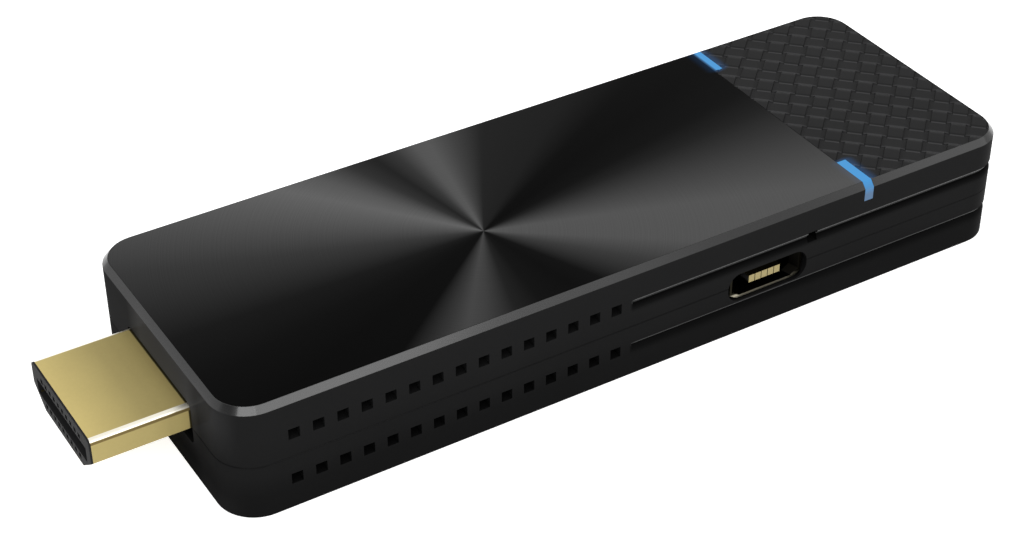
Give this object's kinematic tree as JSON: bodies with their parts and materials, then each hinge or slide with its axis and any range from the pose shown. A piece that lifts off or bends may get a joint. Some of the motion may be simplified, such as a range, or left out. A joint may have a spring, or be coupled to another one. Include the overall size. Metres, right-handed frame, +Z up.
{
  "type": "wireless display dongle",
  "caption": "Stick-shaped wireless display dongle with a gold display plug on one end, side power port, reset hole, vents, scooped side grooves and a spun top plate.",
  "frame": {"origin": "on the underside, halfway along the whole length with the plug and halfway across", "axes": "+X from the plug's tip to the rear end, +Y away from the side that holds the power port, +Z up through the top plate"},
  "size_m": [0.0996, 0.0308, 0.0126],
  "materials": {
    "cover_plastic": "black, finely textured moulding",
    "spun_plate": "black anodised with a circular spun finish",
    "woven_inlay": "dark satin moulding with a basket weave relief",
    "tape": "thin double-sided tape",
    "light_guide": "clear blue light guide, softly frosted",
    "gold_shell": "gold plated, bright",
    "plug_moulding": "black moulded insulator",
    "gold_contact": "gold plated contact metal",
    "steel_shell": "nickel plated pressed steel",
    "board": "dark green solder mask",
    "screw_steel": "plated screw",
    "chip": "moulded chip package",
    "ferrite": "pressed ferrite",
    "tinned_steel": "tinned sheet",
    "ceramic_body": "fired ceramic with tinned ends",
    "led_body": "clear cap over a blue light",
    "soft_pad": "soft gap-filling pad",
    "spreader_metal": "plain extruded fins",
    "plunger_plastic": "black moulded plunger"
  },
  "bodies": {
    "housing": {"upper_cover": "cover_plastic", "lower_cover": "cover_plastic", "top_plate": "spun_plate", "rear_inlay": "woven_inlay", "plate_adhesive": "tape", "inlay_adhesive": "tape", "light_guide_near": "light_guide", "light_guide_far": "light_guide", "hdmi_shell": "gold_shell", "hdmi_insulator": "plug_moulding", "hdmi_contacts": "gold_contact", "usb_shell": "steel_shell", "usb_tongue": "plug_moulding", "usb_contacts": "gold_contact", "main_board": "board", "board_screws": "screw_steel", "system_processor": "chip", "memory_chips": "chip", "flash_chip": "chip", "power_chip": "chip", "power_inductors": "ferrite", "wifi_chip": "chip", "wifi_shield": "tinned_steel", "crystals": "tinned_steel", "capacitors": "ceramic_body", "status_leds": "led_body", "antennas": "gold_contact", "thermal_pad": "soft_pad", "heat_spreader": "spreader_metal", "switch_base": "plug_moulding", "switch_cover": "tinned_steel"},
    "plunger": {"reset_plunger": "plunger_plastic"}
  },
  "joints": [
    {"name": "reset_press", "type": "slide", "parent": "housing", "child": "plunger", "axis": [0, 1, 0], "range_m": [0, 0.00025], "stiffness_N_per_m": 6400}
  ]
}
